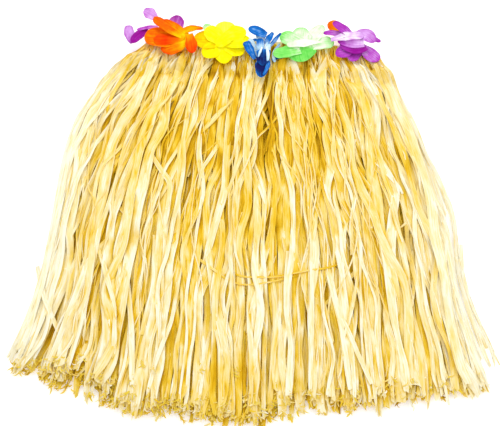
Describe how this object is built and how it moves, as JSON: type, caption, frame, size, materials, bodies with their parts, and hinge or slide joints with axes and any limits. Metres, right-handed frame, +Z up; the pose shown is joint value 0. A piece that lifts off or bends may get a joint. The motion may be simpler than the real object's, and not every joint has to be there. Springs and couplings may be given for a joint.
{
  "type": "grass skirt",
  "caption": "Hula grass skirt laid flat: layers of raffia-like ribbon grass on an elastic waistband with cloth flowers.",
  "frame": {"origin": "middle of the skirt's footprint, on the surface that it lies on", "axes": "+X across the skirt from its left side to its right as seen, +Y towards the waistband, +Z up from the surface"},
  "size_m": [0.48, 0.4706, 0.0378],
  "materials": {
    "grass": "crinkled straw-coloured ribbon with fine lengthwise fibres",
    "elastic": "woven cream elastic",
    "petal_purple": "thin woven petal cloth",
    "petal_orange": "thin woven petal cloth",
    "petal_yellow": "thin woven petal cloth",
    "petal_blue": "thin woven petal cloth",
    "petal_green": "thin woven petal cloth"
  },
  "bodies": {
    "root": {"waistband": "elastic", "grass_front_outer": "grass", "grass_front_inner": "grass", "grass_back_inner": "grass", "grass_back_outer": "grass", "flower_purple_left": "petal_purple", "flower_orange_front": "petal_orange", "flower_yellow_front": "petal_yellow", "flower_blue_front": "petal_blue", "flower_green_front": "petal_green", "flower_purple_right": "petal_purple", "flower_green_back": "petal_green", "flower_blue_back": "petal_blue", "flower_yellow_back": "petal_yellow", "flower_orange_back": "petal_orange"}
  },
  "joints": []
}
